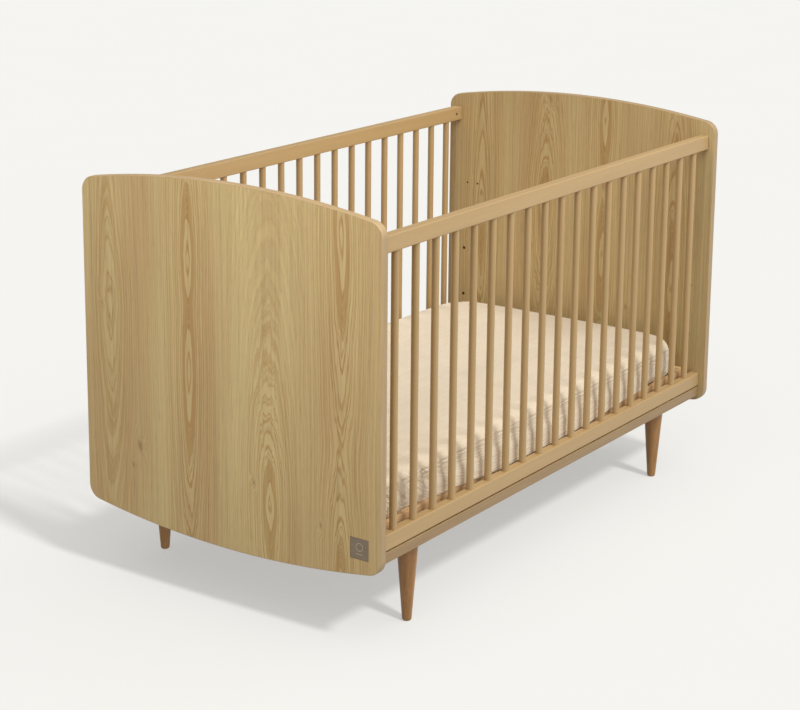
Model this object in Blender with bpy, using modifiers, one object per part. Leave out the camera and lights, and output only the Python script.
"""Baby crib, 70 x 140 cm size, with solid end panels and spindle sides.

Metres, +Z up. The origin is on the floor under the crib's centre. +X runs along the length,
and the front barrier is on the -Y side.
"""

import math

import bpy
import bmesh
from mathutils import Matrix, Vector

# End panels
INNER_LENGTH = 1.410
PANEL_THICKNESS = 0.019
PANEL_WIDTH = 0.788
PANEL_TOP = 0.922
PANEL_BOTTOM = 0.136
PANEL_SAG = 0.035  # how far the top and bottom edges fall from the middle to the sides
PANEL_CORNER = 0.033
PANEL_EDGE_ROUND = 0.002
ARC_STEPS = 16
CORNER_STEPS = 6

# Barriers
BARRIER_INSET = 0.0155  # from the panel's vertical edge to the barrier's outer face
RAIL_THICKNESS = 0.023
TOP_RAIL_HEIGHT = 0.036
BOTTOM_RAIL_HEIGHT = 0.0345
RAIL_ROUND = 0.003
TOP_RAIL_TOP = 0.858
BOTTOM_RAIL_TOP = 0.2413
SPINDLE_COUNT = 19
SPINDLE_PITCH = 0.0715
SPINDLE_DIAMETER = 0.016
SPINDLE_SIDES = 16
SOCKET_DEPTH = 0.012
DOWEL_HOLE_DIAMETER = 0.007
DOWEL_HOLE_DEPTH = 0.013
DOWEL_HOLE_FROM_END = 0.027

# Base boards and legs
BOARD_THICKNESS = 0.0225
BOARD_DEPTH = 0.082
BOARD_GAP = 0.0033  # the shadow gap under the bottom rail
BOARD_ROUND = 0.0015
LEG_X = 0.545
LEG_Y = 0.3355
LEG_TOP_DIAMETER = 0.0475
LEG_FOOT_DIAMETER = 0.0205
LEG_FOOT_ROUND = 0.005
LEG_SIDES = 24

# Holes in the panels' inner faces
PEG_HOLE_Y = 0.343
PEG_HOLE_HEIGHTS = (0.209, 0.338, 0.467)
PEG_HOLE_DIAMETER = 0.0086
SPARE_HOLE_Y = (0.311, 0.335)
SPARE_HOLE_HEIGHT = 0.651
SPARE_HOLE_DIAMETER = 0.007
PANEL_HOLE_DEPTH = 0.012

# Support pegs
PEG_DIAMETER = 0.008
PEG_IN_PANEL = 0.011
PEG_OUT = 0.016
PEG_SIDES = 16

# Slatted mattress base
BASE_TOP = 0.250
BASE_LENGTH = 1.400
BASE_HALF_WIDTH = 0.347
BASE_RAIL_THICKNESS = 0.020
SLAT_COUNT = 14
SLAT_WIDTH = 0.056
SLAT_THICKNESS = 0.009
SLAT_SEAT = 0.010  # how far a slat's end runs into the side rail's rebate
BATTEN_WIDTH = 0.060
BATTEN_THICKNESS = 0.012
BASE_ROUND = 0.0015

# Mattress and fitted sheet
MATTRESS_LENGTH = 1.364
MATTRESS_SHIFT = -0.015  # it lies nearer to the left panel
MATTRESS_WIDTH = 0.692
MATTRESS_THICKNESS = 0.090
MATTRESS_CORNER = 0.080
MATTRESS_ROUND = 0.014
SHEET_THICKNESS = 0.0008
SHEET_TUCK = 0.060  # how far the elastic hem reaches in under the mattress

# Name plate
PLATE_SIDE = 0.045
PLATE_THICKNESS = 0.0012
PLATE_Y = -0.3415
PLATE_Z = 0.2175

GAP = 0.0003
CUT_REACH = 0.005  # how far a cutter runs past the face it opens
HOLE_SIDES = 12
MIN_ARC_SPACE = 0.01  # the arc points nearest a round corner are dropped
BATTEN_OVERLAP = 0.001

INNER_X = INNER_LENGTH / 2
OUTER_X = INNER_X + PANEL_THICKNESS
HALF_WIDTH = PANEL_WIDTH / 2
BARRIER_OUTER = HALF_WIDTH - BARRIER_INSET
BARRIER_Y = BARRIER_OUTER - RAIL_THICKNESS / 2
TOP_RAIL_BOTTOM = TOP_RAIL_TOP - TOP_RAIL_HEIGHT
BOTTOM_RAIL_BOTTOM = BOTTOM_RAIL_TOP - BOTTOM_RAIL_HEIGHT
BOARD_TOP = BOTTOM_RAIL_BOTTOM - BOARD_GAP
BOARD_BOTTOM = BOARD_TOP - BOARD_THICKNESS
PEG_Z = PEG_HOLE_HEIGHTS[0]
BASE_RAIL_BOTTOM = PEG_Z + PEG_DIAMETER / 2 + GAP
MATTRESS_BOTTOM = BASE_TOP + GAP + SHEET_THICKNESS + GAP
MATTRESS_TOP = MATTRESS_BOTTOM + MATTRESS_THICKNESS

OAK = (0.52, 0.36, 0.17, 1.0)
BEECH = (0.60, 0.42, 0.21, 1.0)
LEG_WOOD = (0.33, 0.17, 0.07, 1.0)
PALE_WOOD = (0.62, 0.42, 0.22, 1.0)
STEEL = (0.55, 0.55, 0.56, 1.0)
FOAM = (0.80, 0.78, 0.72, 1.0)
GAUZE = (0.71, 0.61, 0.47, 1.0)
PLATE_GREY = (0.17, 0.13, 0.10, 1.0)


def clear_scene():
    for obj in list(bpy.data.objects):
        bpy.data.objects.remove(obj, do_unlink=True)


def new_collection(name):
    collection = bpy.data.collections.new(name)
    bpy.context.scene.collection.children.link(collection)
    return collection


def material(name, color, roughness, metallic=0.0):
    made = bpy.data.materials.new(name)
    made.use_nodes = True
    shader = made.node_tree.nodes["Principled BSDF"]
    shader.inputs["Base Color"].default_value = color
    shader.inputs["Roughness"].default_value = roughness
    shader.inputs["Metallic"].default_value = metallic
    made.diffuse_color = color
    return made


def place(name, mesh, collection, finish=None, location=(0, 0, 0)):
    obj = bpy.data.objects.new(name, mesh)
    obj.location = location
    collection.objects.link(obj)
    if finish and not mesh.materials:
        mesh.materials.append(finish)
    return obj


def box_mesh(name, size):
    mesh = bpy.data.meshes.new(name)
    bm = bmesh.new()
    bmesh.ops.create_cube(bm, size=1.0)
    bmesh.ops.scale(bm, vec=size, verts=bm.verts)
    bm.to_mesh(mesh)
    bm.free()
    return mesh


def cylinder_mesh(name, diameter, length, axis, sides=SPINDLE_SIDES):
    """A cylinder centred on the origin, along axis."""
    mesh = bpy.data.meshes.new(name)
    bm = bmesh.new()
    turn = Vector((0, 0, 1)).rotation_difference(Vector(axis)).to_matrix().to_4x4()
    bmesh.ops.create_cone(
        bm, cap_ends=True, segments=sides, radius1=diameter / 2, radius2=diameter / 2,
        depth=length, matrix=turn,
    )
    bm.to_mesh(mesh)
    bm.free()
    return mesh


def round_edges(obj, width, segments=2):
    bevel = obj.modifiers.new("round", "BEVEL")
    bevel.width = width
    bevel.segments = segments
    bevel.limit_method = "ANGLE"
    bevel.angle_limit = math.radians(40)
    return bevel


def cut(obj, cutter):
    modifier = obj.modifiers.new("cut " + cutter.name, "BOOLEAN")
    modifier.operation = "DIFFERENCE"
    modifier.object = cutter
    modifier.solver = "EXACT"


def join(obj, other):
    modifier = obj.modifiers.new("join " + other.name, "BOOLEAN")
    modifier.operation = "UNION"
    modifier.object = other
    modifier.solver = "EXACT"


def as_cutter(obj):
    obj.hide_render = True
    obj.display_type = "WIRE"
    return obj


def shade_round(obj):
    obj.data.shade_smooth()
    obj.data.set_sharp_from_angle(angle=math.radians(35))


def arc_edge(half_width, middle, sag, steps):
    """Points of a shallow arc from the left to the right, falling by sag at its ends."""
    radius = (half_width ** 2 + sag ** 2) / (2 * sag)
    centre = middle - radius
    reach = math.asin(half_width / radius)
    angles = [reach * (2 * i / steps - 1) for i in range(steps + 1)]
    return [(radius * math.sin(a), centre + radius * math.cos(a)) for a in angles]


def rounded_corner(before, corner, after, radius, steps):
    """The corner replaced by an arc that touches both of its sides."""
    to_before = (Vector(before) - Vector(corner)).normalized()
    to_after = (Vector(after) - Vector(corner)).normalized()
    half = to_before.angle(to_after) / 2
    centre = Vector(corner) + (to_before + to_after).normalized() * radius / math.sin(half)
    start = Vector(corner) + to_before * radius / math.tan(half) - centre
    end = Vector(corner) + to_after * radius / math.tan(half) - centre
    turn = start.angle_signed(end)
    return [centre + Matrix.Rotation(-turn * i / steps, 2) @ start for i in range(steps + 1)]


def panel_outline():
    """The panel's outline in Y and Z: bowed top and bottom edges, straight sides, round corners."""
    half_height = (PANEL_TOP - PANEL_BOTTOM) / 2
    top = arc_edge(HALF_WIDTH, half_height, PANEL_SAG, ARC_STEPS)
    corner = top[-1]
    bend = rounded_corner(top[-2], corner, (corner[0], 0.0), PANEL_CORNER, CORNER_STEPS)
    reach = bend[0].x
    inner = [Vector(p) for p in top if abs(p[0]) < reach - MIN_ARC_SPACE]
    left_bend = [Vector((-p.x, p.y)) for p in reversed(bend)]
    upper = left_bend + inner + list(bend)
    lower = [Vector((p.x, -p.y)) for p in reversed(upper)]
    return upper + lower


def panel_mesh(name):
    """A flat board of the panel's outline, lying across X."""
    curve = bpy.data.curves.new(name, "CURVE")
    curve.dimensions = "2D"
    curve.fill_mode = "BOTH"
    curve.extrude = PANEL_THICKNESS / 2 - PANEL_EDGE_ROUND
    curve.bevel_depth = PANEL_EDGE_ROUND
    curve.bevel_resolution = 1
    curve.offset = -PANEL_EDGE_ROUND
    outline = panel_outline()
    spline = curve.splines.new("POLY")
    spline.points.add(len(outline) - 1)
    for point, place_at in zip(spline.points, outline):
        point.co = (place_at.x, place_at.y, 0, 1)
    spline.use_cyclic_u = True
    guide = bpy.data.objects.new(name, curve)
    bpy.context.scene.collection.objects.link(guide)
    graph = bpy.context.evaluated_depsgraph_get()
    mesh = bpy.data.meshes.new_from_object(guide.evaluated_get(graph))
    bpy.data.objects.remove(guide)
    # The outline's first direction becomes Y, its second Z, and the thickness X.
    mesh.transform(Matrix(((0, 0, 1, 0), (1, 0, 0, 0), (0, 1, 0, 0), (0, 0, 0, 1))))
    weld(mesh)
    return mesh


def weld(mesh):
    bm = bmesh.new()
    bm.from_mesh(mesh)
    bmesh.ops.remove_doubles(bm, verts=bm.verts, dist=1e-6)
    bmesh.ops.recalc_face_normals(bm, faces=bm.faces)
    bm.to_mesh(mesh)
    bm.free()


def spindle_places():
    first = -SPINDLE_PITCH * (SPINDLE_COUNT - 1) / 2
    return [first + SPINDLE_PITCH * i for i in range(SPINDLE_COUNT)]


def joined_cylinders(name, diameter, length, axis, centres, sides=SPINDLE_SIDES):
    """Equal cylinders that don't touch, as one mesh for a cutter."""
    mesh = bpy.data.meshes.new(name)
    bm = bmesh.new()
    turn = Vector((0, 0, 1)).rotation_difference(Vector(axis)).to_matrix().to_4x4()
    for centre in centres:
        bmesh.ops.create_cone(
            bm, cap_ends=True, segments=sides, radius1=diameter / 2, radius2=diameter / 2,
            depth=length, matrix=Matrix.Translation(centre) @ turn,
        )
    bm.to_mesh(mesh)
    bm.free()
    return mesh


def make_panels(parts, cutters, oak):
    """Two end panels with blind holes in their inner faces, and the plate's pocket in the left one."""
    centre_z = (PANEL_TOP + PANEL_BOTTOM) / 2
    for side, name in ((-1, "end_panel_left"), (1, "end_panel_right")):
        panel = place(
            name, panel_mesh(name), parts, oak,
            (side * (INNER_X + PANEL_THICKNESS / 2), 0, centre_z),
        )
        reach = PANEL_HOLE_DEPTH * 2
        peg_holes = [
            (side * INNER_X, y, z) for y in (-PEG_HOLE_Y, PEG_HOLE_Y) for z in PEG_HOLE_HEIGHTS
        ]
        spare_holes = [
            (side * INNER_X, way * y, SPARE_HOLE_HEIGHT) for way in (-1, 1) for y in SPARE_HOLE_Y
        ]
        for label, diameter, holes in (
            ("peg", PEG_HOLE_DIAMETER, peg_holes),
            ("spare", SPARE_HOLE_DIAMETER, spare_holes),
        ):
            drilled = joined_cylinders(name + label, diameter, reach, (1, 0, 0), holes, HOLE_SIDES)
            cut(panel, as_cutter(place(name + "_" + label + "_holes", drilled, cutters)))
        if side < 0:
            depth = PLATE_THICKNESS + 2 * GAP
            pocket = box_mesh("plate_pocket", plate_box(GAP, depth + CUT_REACH))
            centre = (-OUTER_X + (depth - CUT_REACH) / 2, PLATE_Y, PLATE_Z)
            cut(panel, as_cutter(place("plate_pocket", pocket, cutters, None, centre)))


def plate_box(margin, thickness):
    side = PLATE_SIDE + 2 * margin
    return (thickness, side, side)


def make_plate(parts, grey):
    """A blank square plate let into the left panel's outer face."""
    mesh = box_mesh("name_plate", plate_box(0, PLATE_THICKNESS))
    place("name_plate", mesh, parts, grey, (-OUTER_X + GAP + PLATE_THICKNESS / 2, PLATE_Y, PLATE_Z))


def make_rail(name, side, bottom, height, socket_up, parts, cutters, beech):
    """One rail with rounded edges, a blind socket for each spindle and a bolt hole near each end."""
    size = (INNER_LENGTH - 2 * GAP, RAIL_THICKNESS, height)
    centre = Vector((0, side * BARRIER_Y, bottom + height / 2))
    rail = place(name, box_mesh(name, size), parts, beech, centre)
    round_edges(rail, RAIL_ROUND)
    mouth = bottom + height if socket_up else bottom
    sockets = [(x, side * BARRIER_Y, mouth) for x in spindle_places()]
    bored = joined_cylinders(
        name + "_sockets", SPINDLE_DIAMETER + 2 * GAP, 2 * (SOCKET_DEPTH + GAP), (0, 0, 1), sockets
    )
    cut(rail, as_cutter(place(name + "_sockets", bored, cutters)))
    inner_face = side * (BARRIER_Y - RAIL_THICKNESS / 2)
    ends = [(way * (INNER_X - DOWEL_HOLE_FROM_END), inner_face, centre.z) for way in (-1, 1)]
    drilled = joined_cylinders(
        name + "_nut_holes", DOWEL_HOLE_DIAMETER, 2 * DOWEL_HOLE_DEPTH, (0, 1, 0), ends, HOLE_SIDES
    )
    cut(rail, as_cutter(place(name + "_nut_holes", drilled, cutters)))


def make_barriers(parts, cutters, beech):
    """The front and back barriers: a top rail, a bottom rail and nineteen spindles each."""
    low = BOTTOM_RAIL_TOP - SOCKET_DEPTH
    high = TOP_RAIL_BOTTOM + SOCKET_DEPTH
    turned = cylinder_mesh("spindle", SPINDLE_DIAMETER, high - low, (0, 0, 1))
    turned.materials.append(beech)
    for side, word in ((-1, "front"), (1, "back")):
        top_rail = (word + "_top_rail", side, TOP_RAIL_BOTTOM, TOP_RAIL_HEIGHT, False)
        bottom_rail = (word + "_bottom_rail", side, BOTTOM_RAIL_BOTTOM, BOTTOM_RAIL_HEIGHT, True)
        make_rail(*top_rail, parts, cutters, beech)
        make_rail(*bottom_rail, parts, cutters, beech)
        for number, x in enumerate(spindle_places(), start=1):
            name = f"{word}_spindle_{number:02d}"
            spindle = place(name, turned, parts, None, (x, side * BARRIER_Y, (low + high) / 2))
            shade_round(spindle)


def make_base_boards(parts, oak):
    """The flat board under each barrier, which carries the legs."""
    for side, word in ((-1, "front"), (1, "back")):
        name = "base_board_" + word
        size = (INNER_LENGTH - 2 * GAP, BOARD_DEPTH, BOARD_THICKNESS)
        centre = (0, side * (BARRIER_OUTER - BOARD_DEPTH / 2), BOARD_BOTTOM + BOARD_THICKNESS / 2)
        board = place(name, box_mesh(name, size), parts, oak, centre)
        round_edges(board, BOARD_ROUND, 1)


def leg_profile():
    """The leg's outer side from top to bottom, as (radius, height), with a rounded foot."""
    top = BOARD_BOTTOM - GAP
    top_radius = LEG_TOP_DIAMETER / 2
    foot_radius = LEG_FOOT_DIAMETER / 2
    round_centre = foot_radius - LEG_FOOT_ROUND
    bend = [math.radians(90 * i / 4) for i in range(5)]
    foot = [
        (round_centre + LEG_FOOT_ROUND * math.cos(a), LEG_FOOT_ROUND * (1 - math.sin(a)))
        for a in bend
    ]
    return [(0.0, top), (top_radius, top)] + foot + [(0.0, 0.0)]


def leg_mesh():
    mesh = bpy.data.meshes.new("leg")
    bm = bmesh.new()
    verts = [bm.verts.new((r, 0, z)) for r, z in leg_profile()]
    for pair in zip(verts, verts[1:]):
        bm.edges.new(pair)
    bm.to_mesh(mesh)
    bm.free()
    return mesh


def make_legs(parts, leg_wood):
    """Four turned legs, tapered to a small rounded foot."""
    turned = leg_mesh()
    turned.materials.append(leg_wood)
    for side, word in ((-1, "front"), (1, "back")):
        for way, end in ((-1, "left"), (1, "right")):
            leg = place(f"leg_{word}_{end}", turned, parts, None, (way * LEG_X, side * LEG_Y, 0))
            screw = leg.modifiers.new("turned", "SCREW")
            screw.steps = LEG_SIDES
            screw.render_steps = LEG_SIDES
            screw.use_merge_vertices = True
            screw.merge_threshold = 0.00001
            screw.use_smooth_shade = True


def make_pegs(parts, steel):
    """The four steel pegs that the mattress base rests on, in its lowest holes."""
    for side, word in ((-1, "front"), (1, "back")):
        for way, end in ((-1, "left"), (1, "right")):
            name = f"support_peg_{word}_{end}"
            length = PEG_IN_PANEL + PEG_OUT
            centre_x = way * (INNER_X + PEG_IN_PANEL - length / 2)
            shank = cylinder_mesh(name, PEG_DIAMETER, length, (1, 0, 0), PEG_SIDES)
            peg = place(name, shank, parts, steel, (centre_x, side * PEG_HOLE_Y, PEG_Z))
            shade_round(peg)


def make_slat_deck(parts, cutters, pale_wood):
    """The slats, joined by the batten that runs under their middles."""
    slat_length = 2 * (BASE_HALF_WIDTH - BASE_RAIL_THICKNESS + SLAT_SEAT) - 2 * GAP
    slat_z = BASE_TOP - SLAT_THICKNESS / 2
    first = -(BASE_LENGTH - SLAT_WIDTH) / 2
    pitch = (BASE_LENGTH - SLAT_WIDTH) / (SLAT_COUNT - 1)
    batten_size = (BASE_LENGTH, BATTEN_WIDTH, BATTEN_THICKNESS)
    batten_z = BASE_TOP - SLAT_THICKNESS - BATTEN_THICKNESS / 2 + BATTEN_OVERLAP
    deck = place("slat_deck", box_mesh("slat_deck", batten_size), parts, pale_wood, (0, 0, batten_z))
    slats = bpy.data.meshes.new("slats")
    bm = bmesh.new()
    for i in range(SLAT_COUNT):
        at = Matrix.Translation((first + pitch * i, 0, slat_z))
        size = Matrix.Diagonal((SLAT_WIDTH, slat_length, SLAT_THICKNESS, 1))
        bmesh.ops.create_cube(bm, size=1.0, matrix=at @ size)
    bm.to_mesh(slats)
    bm.free()
    join(deck, as_cutter(place("slats", slats, cutters)))


def make_base_rails(parts, cutters, pale_wood):
    """The mattress base's two side rails, each with a rebate along its inner top edge for the slats."""
    height = BASE_TOP - BASE_RAIL_BOTTOM
    for side, word in ((-1, "front"), (1, "back")):
        name = "base_side_rail_" + word
        centre_y = side * (BASE_HALF_WIDTH - BASE_RAIL_THICKNESS / 2)
        size = (BASE_LENGTH, BASE_RAIL_THICKNESS, height)
        rail = place(
            name, box_mesh(name, size), parts, pale_wood, (0, centre_y, BASE_RAIL_BOTTOM + height / 2)
        )
        round_edges(rail, BASE_ROUND, 1)
        rebate_y = SLAT_SEAT + CUT_REACH
        rebate_z = SLAT_THICKNESS + GAP + CUT_REACH
        inner_face = side * (BASE_HALF_WIDTH - BASE_RAIL_THICKNESS)
        rebate = box_mesh(name + "_rebate", (BASE_LENGTH + 2 * CUT_REACH, rebate_y, rebate_z))
        at = (
            0,
            inner_face + side * (SLAT_SEAT - rebate_y / 2),
            BASE_TOP - SLAT_THICKNESS - GAP + rebate_z / 2,
        )
        cut(rail, as_cutter(place(name + "_rebate", rebate, cutters, None, at)))


def rounded_slab(name, size, corner):
    """A slab with upright round corners, centred on the origin."""
    mesh = box_mesh(name, size)
    bm = bmesh.new()
    bm.from_mesh(mesh)
    upright = [e for e in bm.edges if abs(e.verts[0].co.z - e.verts[1].co.z) > size[2] / 2]
    bmesh.ops.bevel(bm, geom=upright, offset=corner, segments=6, profile=0.5, affect="EDGES")
    bm.to_mesh(mesh)
    bm.free()
    return mesh


def make_mattress(parts, foam):
    size = (MATTRESS_LENGTH, MATTRESS_WIDTH, MATTRESS_THICKNESS)
    centre = (MATTRESS_SHIFT, 0, MATTRESS_BOTTOM + MATTRESS_THICKNESS / 2)
    mattress = place("mattress", rounded_slab("mattress", size, MATTRESS_CORNER), parts, foam, centre)
    round_edges(mattress, MATTRESS_ROUND)


def make_sheet(parts, cutters, gauze):
    """The fitted sheet: a thin cover over the top and sides, tucked in under the mattress's edge."""
    skin = GAP + SHEET_THICKNESS
    size = (
        MATTRESS_LENGTH + 2 * skin,
        MATTRESS_WIDTH + 2 * skin,
        MATTRESS_THICKNESS + 2 * skin,
    )
    centre = Vector((MATTRESS_SHIFT, 0, MATTRESS_BOTTOM + MATTRESS_THICKNESS / 2))
    sheet = place(
        "fitted_sheet", rounded_slab("fitted_sheet", size, MATTRESS_CORNER + skin), parts, gauze, centre
    )
    round_edges(sheet, MATTRESS_ROUND + skin)
    inside = [side + 2 * GAP for side in (MATTRESS_LENGTH, MATTRESS_WIDTH, MATTRESS_THICKNESS)]
    hollow = place(
        "sheet_inside", rounded_slab("sheet_inside", inside, MATTRESS_CORNER + GAP), cutters, None, centre
    )
    round_edges(hollow, MATTRESS_ROUND + GAP)
    cut(sheet, as_cutter(hollow))
    mouth_size = (
        MATTRESS_LENGTH - 2 * SHEET_TUCK,
        MATTRESS_WIDTH - 2 * SHEET_TUCK,
        MATTRESS_THICKNESS,
    )
    mouth = place(
        "sheet_mouth", rounded_slab("sheet_mouth", mouth_size, SHEET_TUCK), cutters, None,
        centre - Vector((0, 0, MATTRESS_THICKNESS / 2)),
    )
    cut(sheet, as_cutter(mouth))


def main():
    clear_scene()
    parts = new_collection("baby_crib")
    cutters = new_collection("cutters")
    cutters.hide_render = True
    oak = material("oak_decor", OAK, 0.55)
    beech = material("beech_lacquer", BEECH, 0.40)
    leg_wood = material("leg_wood", LEG_WOOD, 0.38)
    pale_wood = material("base_wood", PALE_WOOD, 0.60)
    steel = material("peg_steel", STEEL, 0.35, 1.0)
    foam = material("mattress_foam", FOAM, 0.95)
    gauze = material("cotton_gauze", GAUZE, 0.95)
    grey = material("plate_grey", PLATE_GREY, 0.50)
    make_panels(parts, cutters, oak)
    make_plate(parts, grey)
    make_barriers(parts, cutters, beech)
    make_base_boards(parts, oak)
    make_legs(parts, leg_wood)
    make_pegs(parts, steel)
    make_base_rails(parts, cutters, pale_wood)
    make_slat_deck(parts, cutters, pale_wood)
    make_mattress(parts, foam)
    make_sheet(parts, cutters, gauze)


main()
